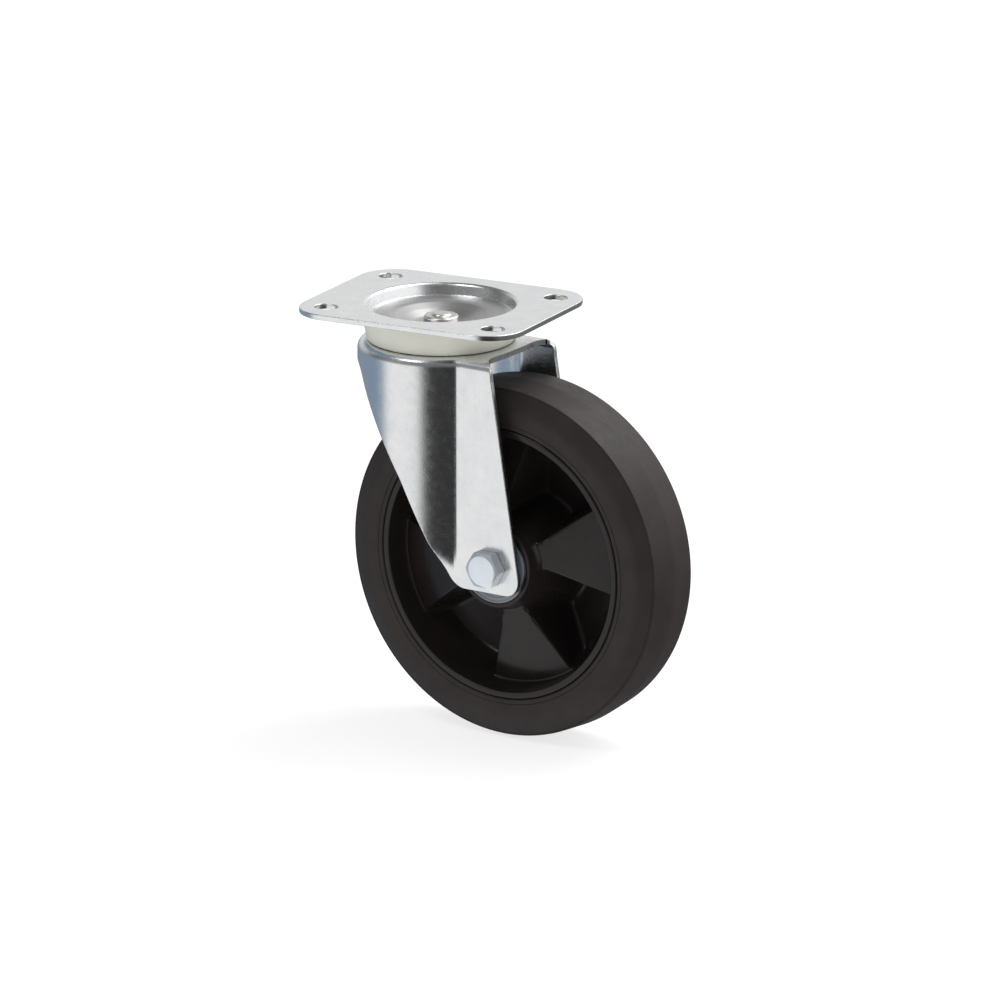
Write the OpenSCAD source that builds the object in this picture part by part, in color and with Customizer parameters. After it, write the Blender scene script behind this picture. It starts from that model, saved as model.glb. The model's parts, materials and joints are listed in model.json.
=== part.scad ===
// Gate wheel: a swivelling plate castor with a pressed steel fork and a rubber-tyred wheel.
// Origin: centre of the top plate's upper face, on the kingpin's axis.
// +Z is up, +X points to the trailing side, and the axle runs close to Y.

/* [Overall] */
// Height from the floor to the top plate's upper face
total_height = 235; // [233:1:240]
// Distance that the axle trails behind the kingpin's axis
trail = 53; // [50:1:56]
// Angle that the fork is turned about the kingpin at rest, in degrees
rest_swivel = -6.3; // [-15:0.1:15]

/* [Wheel] */
// Diameter of the tyre over the middle of its tread
wheel_d = 200; // [198:0.5:202]
// Width of the wheel over the tyre's side walls
wheel_w = 46; // [44:1:48]
// Length of the hub between the fork's legs
hub_length = 60; // [58:0.5:60]

/* [Top plate] */
// Length of the plate along X
plate_length = 135; // [130:1:140]
// Width of the plate along Y
plate_width = 110; // [106:1:115]
// Thickness of the plate's steel
plate_t = 3; // [2.5:0.25:3.5]
// Distance between the bolt slots along X
slot_spacing_x = 102.5; // [100:0.5:106]
// Distance between the bolt slots along Y
slot_spacing_y = 75; // [74:0.5:80]
// Width of each bolt slot
slot_width = 11; // [9:0.5:11.5]
// Length of each bolt slot along X
slot_length = 13.5; // [12:0.5:15]

/* [Fork] */
// Thickness of the fork's steel
fork_t = 3; // [2.5:0.25:3]
// Outside radius of the fork's curved wall around the kingpin
crown_r = 46; // [45:0.5:48]
// Depth of the fork's crown below the plate's upper face
crown_drop = 20; // [19.5:0.5:20.5]

/* [Hidden] */
$fn = 96;

// Clearances
running_gap = 0.05;
seal_gap = 0.3;
big = 200;

// Wheel centre in the fork's frame
wheel_r = wheel_d / 2;
axle_drop = total_height - wheel_r;

// Tyre profile, as radii and distances from the wheel's middle plane
tread_half = wheel_w / 2 - 4.6;
tread_edge_r = wheel_r - 1.8;
shoulder_r = wheel_r - 11.6;
side_half = wheel_w / 2;
bead_r = 76.5;
seat_r = 74.5;
bead_half = side_half - 4;
seat_half = bead_half - 1.5;

// Rim and its folded web
lip_inner_r = 72.8;
web_outer_r = 70.5;
web_outer_z = 9.5;
web_inner_r = 26;
web_inner_z = 20;
floor_outer_r = 65;
floor_outer_z = 4.5;
floor_inner_r = 34;
floor_inner_z = 12.5;
pocket_count = 4;
pocket_pitch = 360 / pocket_count;
radial_edge_angle = 33.7;
slanted_edge_angle = 75.8;
slanted_edge_offset = 6.3;
pocket_draft = 9;
draft_pivot_z = 14;
web_wall = 5;

// Hub and ball bearings, 20 x 42 x 12
bearing_w = 12;
bearing_out_r = 21;
bearing_bore_r = 10;
bearing_face_z = 28;
bearing_mid_z = bearing_face_z - bearing_w / 2;
race_mid_r = 15.6;
inner_shoulder_r = 13.4;
outer_shoulder_r = 17.8;
bearing_ball_r = 3.15;
bearing_ball_count = 9;
race_groove_r = bearing_ball_r + running_gap;
cage_half_w = 4.3;
cage_half_t = 1.2;
cage_pocket_r = bearing_ball_r + 0.15;
seal_t = 0.8;
seal_recess = 0.3;
hub_end_r = 23.6;
hub_throat_r = 17.2;

// Axle: M12 bolt, tube between the legs, lock nut
bolt_r = 6;
bolt_hole_r = 6.2;
tube_bore_r = 6.1;
hex_af = 19;
head_h = 7.5;
nut_h = 10;
nut_collar_h = 3.4;
washer_t = 2.5;
washer_r = 12;
leg_in = hub_length / 2;
leg_out = leg_in + fork_t;

// Fork side outline, seen along Y: X from the kingpin, Z from the plate's upper face
leg_floor_z = -axle_drop - 14.6;
crown_top_z = -crown_drop;
crown_under_z = crown_top_z - fork_t;
roll_r = 5;
crown_in_r = crown_r - fork_t;
disc_r = crown_r - 6;
front_wall_z = crown_top_z - 10.5;
fork_outline = [
    [-crown_r - 5, 0],
    [-crown_r - 5, front_wall_z],
    [-31, front_wall_z - 1.5],
    [3.5, crown_top_z - 70],
    [trail - 22.5, leg_floor_z],
    [trail + 21, leg_floor_z],
    [trail + 0.4, crown_top_z - 1],
    [trail - 6, crown_top_z],
    [trail - 6, 0]
];
fork_outline_radii = [0, 0, 12, 60, 11, 9, 5, 0, 0];
deck_rear_x = 48;
deck_rear_r = 260;
crease_x = sqrt(crown_r * crown_r - leg_out * leg_out);

// Swivel head: radii about the kingpin, heights below the plate's upper face
dish_floor_z = -6;
dish_under_z = dish_floor_z - plate_t;
dish_top_r = 41;
dish_floor_r = 39;
dish_under_r = 37.4;
bowl_r = 27;
bowl_foot_r = 11;
bowl_foot_z = -12.6;
kingpin_r = 8;
kingpin_head_r = 9.6;
kingpin_boss_r = 5;
kingpin_top_z = -6;
crown_bore_r = 10.6;
sleeve_r = 10;
upper_ball_r = 4;
upper_race_r = 33;
upper_ball_count = 24;
upper_ball_z = dish_under_z - running_gap - upper_ball_r;
lower_ball_r = 3;
lower_race_r = 19;
lower_ball_count = 18;
lower_ball_z = crown_under_z - running_gap - lower_ball_r;
cup_r = 25;
cup_floor_z = lower_ball_z - lower_ball_r + 1;
cup_t = 2.6;
rivet_r = 12;
rivet_h = 4;
ring_top_z = -4.6;
ring_bottom_z = crown_top_z + seal_gap;

// Colours
zinc = [0.80, 0.82, 0.85];
bright_steel = [0.72, 0.73, 0.75];
ivory = [0.90, 0.89, 0.82];
black_nylon = [0.06, 0.06, 0.065];
dark_rubber = [0.17, 0.15, 0.15];
grey_seal = [0.48, 0.52, 0.56];
blue_nylon = [0.22, 0.35, 0.60];
cage_brown = [0.45, 0.36, 0.22];

// Points of an arc about a centre, from one angle to another
function arc(centre, r, from, to, steps = 8) =
    [for (i = [0:steps]) centre + r * [cos(from + (to - from) * i / steps),
                                       sin(from + (to - from) * i / steps)]];
function unit(v) = v / norm(v);
function short_turn(a) = a > 180 ? a - 360 : a < -180 ? a + 360 : a;
// The rounded corner at b between its neighbours a and c
function corner(a, b, c, r, steps = 8) =
    r == 0 ? [b] :
    let (u = unit(a - b), v = unit(c - b), half = acos(u * v) / 2,
         centre = b + unit(u + v) * r / sin(half),
         start = b + u * r / tan(half), end = b + v * r / tan(half),
         from = atan2(start.y - centre.y, start.x - centre.x),
         to = atan2(end.y - centre.y, end.x - centre.x))
    arc(centre, r, from, from + short_turn(to - from), steps);
function rounded(points, radii) =
    let (n = len(points))
    [for (i = [0:n - 1]) each corner(points[(i + n - 1) % n], points[i], points[(i + 1) % n], radii[i])];

// Frames: the fork's, turned about the kingpin, and the wheel's, with Z along the axle to the front
module in_fork() { rotate([0, 0, rest_swivel]) children(); }
module on_axle() { in_fork() translate([trail, 0, -axle_drop]) rotate([90, 0, 0]) children(); }

module ring(r_out, r_in, z_low, z_high) {
    translate([0, 0, z_low]) difference() {
        cylinder(r = r_out, h = z_high - z_low);
        translate([0, 0, -1]) cylinder(r = r_in, h = z_high - z_low + 2);
    }
}
module hexagon_prism(across_flats, h) {
    intersection() {
        cylinder(r = across_flats / sqrt(3), h = h, $fn = 6);
        translate([0, 0, h - 2]) cylinder(r1 = across_flats / sqrt(3) + 1.2, r2 = across_flats / 2 - 0.5, h = 2);
    }
    cylinder(r = across_flats / sqrt(3), h = h - 2, $fn = 6);
}
module ball_row(count, row_r, ball_r, z) {
    for (i = [0:count - 1])
        rotate([0, 0, i * 360 / count]) translate([row_r, 0, z]) sphere(r = ball_r, $fn = 32);
}

// ---------- Swivel head: what is fixed to the plate ----------

module plate_outline() {
    corner_r = 22;
    square([plate_length - 2 * corner_r, plate_width], center = true);
    square([plate_length, plate_width - 2 * corner_r], center = true);
    for (sx = [-1, 1], sy = [-1, 1])
        translate([sx * (plate_length / 2 - corner_r), sy * (plate_width / 2 - corner_r)])
            circle(r = corner_r);
}
module bolt_slot() {
    reach = (slot_length - slot_width) / 2;
    translate([-reach, -slot_width / 2, -big / 2]) cube([2 * reach, slot_width, big]);
    for (s = [-1, 1]) translate([s * reach, 0, -big / 2]) cylinder(d = slot_width, h = big);
}
// The pressed dish: a sheet of even thickness, open in the middle for the kingpin
module dish() {
    rotate_extrude() polygon(concat(
        [[kingpin_r, bowl_foot_z], [bowl_foot_r, bowl_foot_z]],
        arc([bowl_r, dish_floor_z - 22], 22, 132, 90, 6),
        [[dish_floor_r - 0.8, dish_floor_z], [dish_floor_r + 0.3, dish_floor_z + 0.8]],
        arc([dish_top_r + 3, -3], 3, 175, 90, 6),
        [[dish_top_r + 5, 0], [dish_top_r + 5, -plate_t]],
        [[dish_top_r + 2.6, -plate_t], [dish_under_r + 2.6, dish_under_z + 0.8], [dish_under_r + 1.6, dish_under_z]],
        [[bowl_r, dish_under_z]],
        [[bowl_foot_r + 1.5, bowl_foot_z - plate_t], [kingpin_r, bowl_foot_z - plate_t]]
    ));
}
module top_plate() {
    color(zinc) {
        difference() {
            translate([0, 0, -plate_t]) linear_extrude(plate_t) plate_outline();
            translate([0, 0, -big / 2]) cylinder(r = dish_top_r + 4, h = big);
            for (sx = [-1, 1], sy = [-1, 1])
                translate([sx * slot_spacing_x / 2, sy * slot_spacing_y / 2, 0]) bolt_slot();
        }
        dish();
    }
}
module kingpin() {
    color(bright_steel) rotate_extrude() polygon([
        [0, kingpin_top_z], [kingpin_boss_r - 0.4, kingpin_top_z], [kingpin_boss_r, kingpin_top_z - 0.3],
        [kingpin_boss_r + 1, kingpin_top_z - 1.15], [kingpin_head_r - 1.4, kingpin_top_z - 1],
        [kingpin_head_r - 0.5, kingpin_top_z - 1.3], [kingpin_head_r, kingpin_top_z - 2.1],
        [kingpin_head_r, bowl_foot_z], [kingpin_r, bowl_foot_z],
        [kingpin_r, cup_floor_z - cup_t], [rivet_r, cup_floor_z - cup_t],
        [rivet_r - 1, cup_floor_z - cup_t - 2.4], [rivet_r - 4, cup_floor_z - cup_t - rivet_h],
        [0, cup_floor_z - cup_t - rivet_h]
    ]);
}
module pivot_sleeve() {
    color(bright_steel) ring(sleeve_r, kingpin_r, cup_floor_z, bowl_foot_z - plate_t);
}
module lower_race_cup() {
    color(bright_steel) difference() {
        ring(cup_r, kingpin_r, cup_floor_z - cup_t, cup_floor_z + 1.2);
        ring(lower_race_r - 2.6, sleeve_r - 3, cup_floor_z, big);
        ring(cup_r - 2, lower_race_r + 2.6, cup_floor_z, big);
        rotate_extrude() translate([lower_race_r, lower_ball_z]) circle(r = lower_ball_r + running_gap);
    }
}
// Plastic skirt that keeps dirt out of the upper ball row
module dust_ring() {
    color(ivory) rotate_extrude() polygon([
        [dish_top_r + 2.8, ring_top_z], [dish_top_r + 1.2, -12], [dish_top_r - 0.2, ring_bottom_z],
        [dish_under_r + 1.8, ring_bottom_z], [dish_under_r + 2.2, dish_under_z + 0.3],
        [dish_under_r + 3, dish_under_z + 0.8], [dish_top_r + 2.4, ring_top_z]
    ]);
}

// ---------- Ball rows of the swivel head ----------

module upper_ball_row() {
    color(bright_steel) in_fork() ball_row(upper_ball_count, upper_race_r, upper_ball_r, upper_ball_z);
}
module lower_ball_row() {
    color(bright_steel) in_fork() ball_row(lower_ball_count, lower_race_r, lower_ball_r, lower_ball_z);
}

// ---------- Fork and what is fixed to it ----------

// What lies inside the fork's outline when it is seen along Y
module fork_side() {
    rotate([90, 0, 0]) translate([0, 0, -big / 2])
        linear_extrude(big) polygon(rounded(fork_outline, fork_outline_radii));
}
// Middle of the crown: a disc with a pressed bead that carries the upper balls in a groove
module crown_disc() {
    groove_r = upper_ball_r + running_gap;
    lip_drop = 2.6;
    lip_angle = asin(lip_drop / groove_r);
    lip_reach = groove_r * cos(lip_angle);
    lip_z = upper_ball_z - lip_drop;
    bead_under_z = crown_under_z + 2.8;
    rotate_extrude() polygon(concat(
        [[crown_bore_r, crown_under_z], [upper_race_r - 6.5, crown_under_z], [upper_race_r - 3, bead_under_z],
         [upper_race_r + 2, bead_under_z], [upper_race_r + 4, crown_under_z], [disc_r, crown_under_z],
         [disc_r, crown_top_z], [upper_race_r + 5, crown_top_z], [upper_race_r + lip_reach + 0.4, lip_z]],
        arc([upper_race_r, upper_ball_z], groove_r, -lip_angle, lip_angle - 180, 12),
        [[upper_race_r - lip_reach - 1, lip_z], [upper_race_r - 7, crown_top_z], [crown_bore_r, crown_top_z]]
    ));
}
// Round front of the fork: a rolled edge that runs down into the curved wall
module round_front() {
    low_z = leg_floor_z - 5;
    difference() {
        intersection() {
            rotate_extrude() polygon(rounded([
                [disc_r, crown_under_z], [disc_r, crown_top_z], [crown_r, crown_top_z],
                [crown_r, low_z], [crown_in_r, low_z], [crown_in_r, crown_under_z]
            ], [0, 0, roll_r, 0, 0, roll_r - fork_t]));
            translate([crease_x - big, -big / 2, -big]) cube(big);
        }
        translate([1, -leg_in, low_z - 1]) cube([big, 2 * leg_in, crown_under_z - roll_r - low_z]);
    }
}
// Legs and the rear of the deck: one folded channel along X, open behind the deck's rear edge
module channel_rear() {
    low_z = leg_floor_z - 5;
    overlap = 2;
    difference() {
        rotate([90, 0, 90]) translate([0, 0, crease_x - overlap]) linear_extrude(big)
            polygon(rounded([
                [-leg_out, low_z], [-leg_out, crown_top_z], [leg_out, crown_top_z], [leg_out, low_z],
                [leg_in, low_z], [leg_in, crown_under_z], [-leg_in, crown_under_z], [-leg_in, low_z]
            ], [0, roll_r, roll_r, 0, 0, roll_r - fork_t, roll_r - fork_t, 0]));
        translate([0, 0, -big / 2]) cylinder(r = disc_r, h = big);
        difference() {
            translate([crease_x, -leg_in, crown_under_z - roll_r]) cube([big, 2 * leg_in, 3 * roll_r]);
            translate([deck_rear_x - deck_rear_r, 0, -big / 2]) cylinder(r = deck_rear_r, h = big, $fn = 360);
        }
    }
}
module fork() {
    color(zinc) in_fork() difference() {
        union() {
            crown_disc();
            intersection() {
                union() {
                    round_front();
                    channel_rear();
                }
                fork_side();
            }
        }
        translate([trail, big / 2, -axle_drop]) rotate([90, 0, 0]) cylinder(r = bolt_hole_r, h = big);
    }
}
module axle_bolt() {
    color(zinc) on_axle() {
        translate([0, 0, leg_out]) hexagon_prism(hex_af, head_h);
        translate([0, 0, -leg_out - washer_t - nut_h - 2.5])
            cylinder(r = bolt_r, h = 2 * leg_out + washer_t + nut_h + 3);
    }
}
module nut_washer() {
    color(zinc) on_axle() ring(washer_r, bolt_r, -leg_out - washer_t, -leg_out);
}
module axle_nut() {
    face = -leg_out - washer_t;
    color(zinc) on_axle() difference() {
        union() {
            mirror([0, 0, 1]) translate([0, 0, -face]) hexagon_prism(hex_af, nut_h - nut_collar_h);
            translate([0, 0, face - nut_h]) cylinder(r = hex_af / 2 - 0.9, h = nut_collar_h + 1);
        }
        translate([0, 0, face - nut_h - 1]) cylinder(r = bolt_r, h = nut_h + 2);
        translate([0, 0, face - nut_h + 0.5]) cylinder(r = bolt_r + 1.8, h = 2.2);
        translate([0, 0, face - nut_h - 1]) cylinder(r = bolt_r + 1, h = 2);
    }
}
module nut_locking_ring() {
    face = -leg_out - washer_t;
    color(blue_nylon) on_axle() ring(bolt_r + 1.8, bolt_r, face - nut_h + 0.5, face - nut_h + 2.7);
}
module axle_tube() {
    color(bright_steel) on_axle() ring(bearing_bore_r, tube_bore_r, -leg_in, leg_in);
}
module spacer_ring() {
    color(bright_steel) ring(inner_shoulder_r - 0.4, bearing_bore_r, bearing_face_z, leg_in);
}
module front_spacer_ring() { on_axle() spacer_ring(); }
module rear_spacer_ring() { on_axle() mirror([0, 0, 1]) spacer_ring(); }
module hub_centre_spacer() {
    half = bearing_face_z - bearing_w;
    color(bright_steel) on_axle() ring(inner_shoulder_r - 0.4, bearing_bore_r, -half, half);
}

// ---------- Ball bearings ----------

module race_groove() {
    rotate_extrude() translate([race_mid_r, bearing_mid_z]) circle(r = race_groove_r);
}
module bearing_inner_ring() {
    color(bright_steel) difference() {
        ring(inner_shoulder_r, bearing_bore_r, bearing_face_z - bearing_w, bearing_face_z);
        race_groove();
    }
}
module bearing_outer_ring() {
    color(bright_steel) difference() {
        ring(bearing_out_r, outer_shoulder_r, bearing_face_z - bearing_w, bearing_face_z);
        race_groove();
        // Steps that the seals sit in
        ring(bearing_out_r - 0.9, 1, bearing_face_z - seal_recess - seal_t, bearing_face_z + 1);
        ring(bearing_out_r - 0.9, 1, bearing_face_z - bearing_w - 1, bearing_face_z - bearing_w + seal_recess + seal_t);
    }
}
module bearing_seal(z_low) {
    color(grey_seal) ring(bearing_out_r - 0.9, inner_shoulder_r + seal_gap, z_low, z_low + seal_t);
}
module outer_seal() { bearing_seal(bearing_face_z - seal_recess - seal_t); }
module inner_seal() { bearing_seal(bearing_face_z - bearing_w + seal_recess); }
module bearing_balls() {
    color(bright_steel) ball_row(bearing_ball_count, race_mid_r, bearing_ball_r, bearing_mid_z);
}
module bearing_cage() {
    color(cage_brown) difference() {
        ring(race_mid_r + cage_half_t, race_mid_r - cage_half_t, bearing_mid_z - cage_half_w, bearing_mid_z + cage_half_w);
        ball_row(bearing_ball_count, race_mid_r, cage_pocket_r, bearing_mid_z);
    }
}
module front_bearing_inner_ring() { on_axle() bearing_inner_ring(); }
module rear_bearing_inner_ring() { on_axle() mirror([0, 0, 1]) bearing_inner_ring(); }
module front_bearing_outer_ring() { on_axle() bearing_outer_ring(); }
module rear_bearing_outer_ring() { on_axle() mirror([0, 0, 1]) bearing_outer_ring(); }
module front_outer_seal() { on_axle() outer_seal(); }
module front_inner_seal() { on_axle() inner_seal(); }
module rear_outer_seal() { on_axle() mirror([0, 0, 1]) outer_seal(); }
module rear_inner_seal() { on_axle() mirror([0, 0, 1]) inner_seal(); }
module front_bearing_balls() { on_axle() bearing_balls(); }
module rear_bearing_balls() { on_axle() mirror([0, 0, 1]) bearing_balls(); }
module front_bearing_cage() { on_axle() bearing_cage(); }
module rear_bearing_cage() { on_axle() mirror([0, 0, 1]) bearing_cage(); }

// ---------- Wheel ----------

// Everything on one side of an upright plane that leans about its own foot line
module half_space(direction, offset, lean, side) {
    rotate([0, 0, direction]) translate([0, offset, draft_pivot_z]) rotate([lean, 0, 0])
        translate([-big, side > 0 ? 0 : -2 * big, -big]) cube(2 * big);
}
// The ring that the recesses of one side lie in, down to their sloping floor
module pocket_ring() {
    ledge = 0.4;
    rotate_extrude() polygon([
        [floor_inner_r, -floor_inner_z], [floor_outer_r, -floor_outer_z],
        [web_outer_r - ledge, web_outer_z], [web_outer_r - ledge, side_half + 5],
        [web_inner_r + ledge, side_half + 5], [web_inner_r + ledge, web_inner_z]
    ]);
}
module front_pocket() {
    intersection() {
        pocket_ring();
        half_space(radial_edge_angle, 0, pocket_draft, 1);
        half_space(slanted_edge_angle, slanted_edge_offset, -pocket_draft, -1);
    }
}
// A rear recess fills the back of a raised sector, one wall thickness away from the front recesses
module rear_pocket() {
    intersection() {
        mirror([0, 0, 1]) pocket_ring();
        half_space(radial_edge_angle, -web_wall, pocket_draft, -1);
        half_space(slanted_edge_angle - pocket_pitch, slanted_edge_offset + web_wall, -pocket_draft, 1);
    }
}
module wheel_rim() {
    hub_in = bearing_face_z - bearing_w;
    half_profile = [
        [hub_throat_r, hub_in], [bearing_out_r, hub_in], [bearing_out_r, bearing_face_z],
        [hub_end_r, bearing_face_z], [hub_end_r + 0.9, web_inner_z + 4], [web_inner_r, web_inner_z],
        [web_outer_r, web_outer_z], [lip_inner_r, side_half], [bead_r, side_half],
        [bead_r, bead_half], [seat_r, seat_half]
    ];
    n = len(half_profile);
    color(black_nylon) on_axle() difference() {
        rotate_extrude() polygon(concat(
            half_profile,
            [for (i = [n - 1:-1:0]) [half_profile[i].x, -half_profile[i].y]]
        ));
        for (k = [0:pocket_count - 1]) rotate([0, 0, k * pocket_pitch]) {
            front_pocket();
            rear_pocket();
        }
    }
}
module tyre() {
    crown = [for (i = [-6:6]) let (z = tread_half * i / 6)
        [wheel_r - (wheel_r - tread_edge_r) * pow(z / tread_half, 2), z]];
    color(dark_rubber) on_axle() rotate_extrude() polygon(concat(
        [[bead_r, side_half], [bead_r, bead_half], [seat_r, seat_half],
         [seat_r, -seat_half], [bead_r, -bead_half], [bead_r, -side_half],
         [shoulder_r, -side_half]],
        crown,
        [[shoulder_r, side_half]]
    ));
}

top_plate();
kingpin();
pivot_sleeve();
lower_race_cup();
dust_ring();
upper_ball_row();
lower_ball_row();
fork();
axle_bolt();
axle_nut();
nut_locking_ring();
nut_washer();
axle_tube();
front_spacer_ring();
rear_spacer_ring();
hub_centre_spacer();
front_bearing_inner_ring();
rear_bearing_inner_ring();
wheel_rim();
tyre();
front_bearing_outer_ring();
rear_bearing_outer_ring();
front_outer_seal();
front_inner_seal();
rear_outer_seal();
rear_inner_seal();
front_bearing_balls();
front_bearing_cage();
rear_bearing_balls();
rear_bearing_cage();
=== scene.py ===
import json
import math

import bmesh
import bpy
import numpy as np
from mathutils import Matrix, Vector
from mathutils.geometry import delaunay_2d_cdt


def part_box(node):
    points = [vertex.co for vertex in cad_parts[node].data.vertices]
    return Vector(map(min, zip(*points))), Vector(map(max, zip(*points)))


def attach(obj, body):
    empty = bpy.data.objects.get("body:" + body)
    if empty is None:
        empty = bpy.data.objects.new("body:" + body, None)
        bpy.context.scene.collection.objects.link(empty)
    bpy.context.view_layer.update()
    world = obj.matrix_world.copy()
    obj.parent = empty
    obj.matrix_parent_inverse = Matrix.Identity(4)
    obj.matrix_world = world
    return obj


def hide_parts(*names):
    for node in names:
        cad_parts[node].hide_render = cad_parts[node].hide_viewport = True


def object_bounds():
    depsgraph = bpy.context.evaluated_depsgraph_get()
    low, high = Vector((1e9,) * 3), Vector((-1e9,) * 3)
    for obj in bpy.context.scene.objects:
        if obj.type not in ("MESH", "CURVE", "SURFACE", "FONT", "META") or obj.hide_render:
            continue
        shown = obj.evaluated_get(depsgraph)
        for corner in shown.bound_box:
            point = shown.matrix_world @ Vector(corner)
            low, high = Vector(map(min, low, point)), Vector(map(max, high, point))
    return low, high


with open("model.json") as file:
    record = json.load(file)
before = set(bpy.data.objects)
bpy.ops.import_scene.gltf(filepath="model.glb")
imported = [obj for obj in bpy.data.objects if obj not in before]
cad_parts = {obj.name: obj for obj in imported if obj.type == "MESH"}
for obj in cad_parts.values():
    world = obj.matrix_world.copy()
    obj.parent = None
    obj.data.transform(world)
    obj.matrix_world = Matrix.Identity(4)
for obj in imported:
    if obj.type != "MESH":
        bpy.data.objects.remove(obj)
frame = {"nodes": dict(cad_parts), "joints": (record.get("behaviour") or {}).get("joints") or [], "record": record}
packed_lo, packed_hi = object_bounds()

# Shape sizes are in millimetres, in the plate's, the fork's or the wheel's own frame.
MM = 0.001
TURN = 2 * math.pi

joints = {j["name"]: j for j in frame["joints"]}
wheel_centre = Vector(joints["wheel_spin"]["pos_m"])
axle = Vector(joints["wheel_spin"]["axis"])
swivel = math.atan2(-axle.x, axle.y)

PLATE = Matrix.Identity(4)
FORK = Matrix.Rotation(swivel, 4, "Z")
# The wheel's own frame: X trailing, Y up, Z along the axle to the bolt head's side
WHEEL = Matrix.Translation(wheel_centre) @ FORK @ Matrix.Rotation(math.pi / 2, 4, "X")


# ---------- Mesh helpers ----------

def add_piece(name, points, faces, place, body, slot, nodes, sharp=35, material=None):
    """Makes a mesh from points in millimetres, sets it on its body and stands it for its CAD nodes.

    sharp is the angle in degrees from which an edge is shaded sharp. material replaces the slot's own one.
    """
    same_point = 2e-6
    mesh = bpy.data.meshes.new(name)
    mesh.from_pydata([place @ (Vector(p) * MM) for p in points], [], faces)
    bm = bmesh.new()
    bm.from_mesh(mesh)
    bmesh.ops.remove_doubles(bm, verts=bm.verts, dist=same_point)
    bmesh.ops.recalc_face_normals(bm, faces=bm.faces)
    bm.to_mesh(mesh)
    bm.free()
    mesh.shade_smooth()
    mesh.set_sharp_from_angle(angle=math.radians(sharp))
    obj = bpy.data.objects.new(name, mesh)
    bpy.context.scene.collection.objects.link(obj)
    obj.data.materials.append(material or materials[slot])
    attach(obj, body)
    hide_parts(*nodes)
    return obj


def weigh_normals(obj):
    """Keeps the large flat faces evenly shaded beside their rounded edges."""
    modifier = obj.modifiers.new("face weighted normals", "WEIGHTED_NORMAL")
    modifier.weight = 100
    modifier.keep_sharp = True


def arc(centre, radius, start, end, steps):
    """Points of an arc in a plane, with the angles in degrees."""
    angles = [math.radians(start + (end - start) * i / steps) for i in range(steps + 1)]
    return [(centre[0] + radius * math.cos(a), centre[1] + radius * math.sin(a)) for a in angles]


def circle_loop(radius, count):
    """Points of a whole circle round the origin."""
    angles = [TURN * i / count for i in range(count)]
    return [(radius * math.cos(a), radius * math.sin(a)) for a in angles]


def round_corner(before, at, after, radius, steps):
    """The corner of a polyline, replaced by an arc that takes less than half of each side."""
    share = 0.49
    if radius <= 0:
        return [tuple(at)]
    a, b, c = Vector(before), Vector(at), Vector(after)
    u, v = (a - b).normalized(), (c - b).normalized()
    half = math.acos(max(-1, min(1, u.dot(v)))) / 2
    if half > math.radians(89):
        return [tuple(at)]
    cut = min(radius / math.tan(half), (a - b).length * share, (c - b).length * share)
    radius = cut * math.tan(half)
    centre = b + (u + v).normalized() * radius / math.sin(half)
    first, last = b + u * cut - centre, b + v * cut - centre
    start, end = math.atan2(first.y, first.x), math.atan2(last.y, last.x)
    turn = (end - start + math.pi) % TURN - math.pi
    return arc(centre, radius, math.degrees(start), math.degrees(start + turn), steps)


def section(corners, steps, closed=False):
    """A polyline through corners of (x, y, rounding)."""
    n = len(corners)
    points = [corner[:2] for corner in corners]
    out = []
    for i, (x, y, radius) in enumerate(corners):
        if not closed and i in (0, n - 1):
            out.append((x, y))
        else:
            out += round_corner(points[i - 1], (x, y), points[(i + 1) % n], radius, steps)
    return out


def rounded(points, radius, steps, closed=True):
    """A polyline with all its corners rounded alike."""
    return section([(x, y, radius) for x, y in points], steps, closed)


def resample(points, spacing):
    """Adds points along a closed polyline's long steps."""
    out = []
    for a, b in zip(points, points[1:] + points[:1]):
        n = max(1, round(math.dist(a, b) / spacing))
        out += [tuple(a[k] + (b[k] - a[k]) * i / n for k in range(len(a))) for i in range(n)]
    return out


def spread(start, end, count):
    """Even steps between two values, without the two."""
    return [start + (end - start) * (i + 1) / (count + 1) for i in range(count)]


def stack(rows, closed=False):
    """Points and faces of a surface through rings of points. A ring of one point makes a fan."""
    points, rings = [], []
    for row in rows:
        rings.append(list(range(len(points), len(points) + len(row))))
        points += row
    pairs = list(zip(rings, rings[1:])) + ([(rings[-1], rings[0])] if closed else [])
    faces = []
    for a, b in pairs:
        n = max(len(a), len(b))
        for i in range(n):
            quad = [a[i % len(a)], a[(i + 1) % len(a)], b[(i + 1) % len(b)], b[i % len(b)]]
            face = list(dict.fromkeys(quad))
            if len(face) > 2:
                faces.append(face)
    return points, faces


def strip(rows):
    """Points and faces of a surface through rows of points that don't close to rings."""
    n = len(rows[0])
    points = [p for row in rows for p in row]
    starts = [r * n + i for r in range(len(rows) - 1) for i in range(n - 1)]
    return points, [[a, a + 1, a + n + 1, a + n] for a in starts]


def lathe(profile, count, closed=True):
    """Points and faces of a profile of (radius, height) turned about Z."""
    centred = 1e-6
    rows = []
    for r, z in profile:
        circle = circle_loop(r, count if r > centred else 1)
        rows.append([(x, y, z) for x, y in circle])
    return stack(rows, closed)


def joined(*parts):
    """Several lists of points and faces as one."""
    points, faces = [], []
    for p, f in parts:
        start = len(points)
        points += p
        faces += [[i + start for i in face] for face in f]
    return points, faces


def inside(p, loop):
    """Whether a point lies inside a closed polyline."""
    hit = False
    for (x1, y1), (x2, y2) in zip(loop, loop[1:] + loop[:1]):
        if (y1 > p[1]) != (y2 > p[1]) and p[0] < (x2 - x1) * (p[1] - y1) / (y2 - y1) + x1:
            hit = not hit
    return hit


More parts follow.
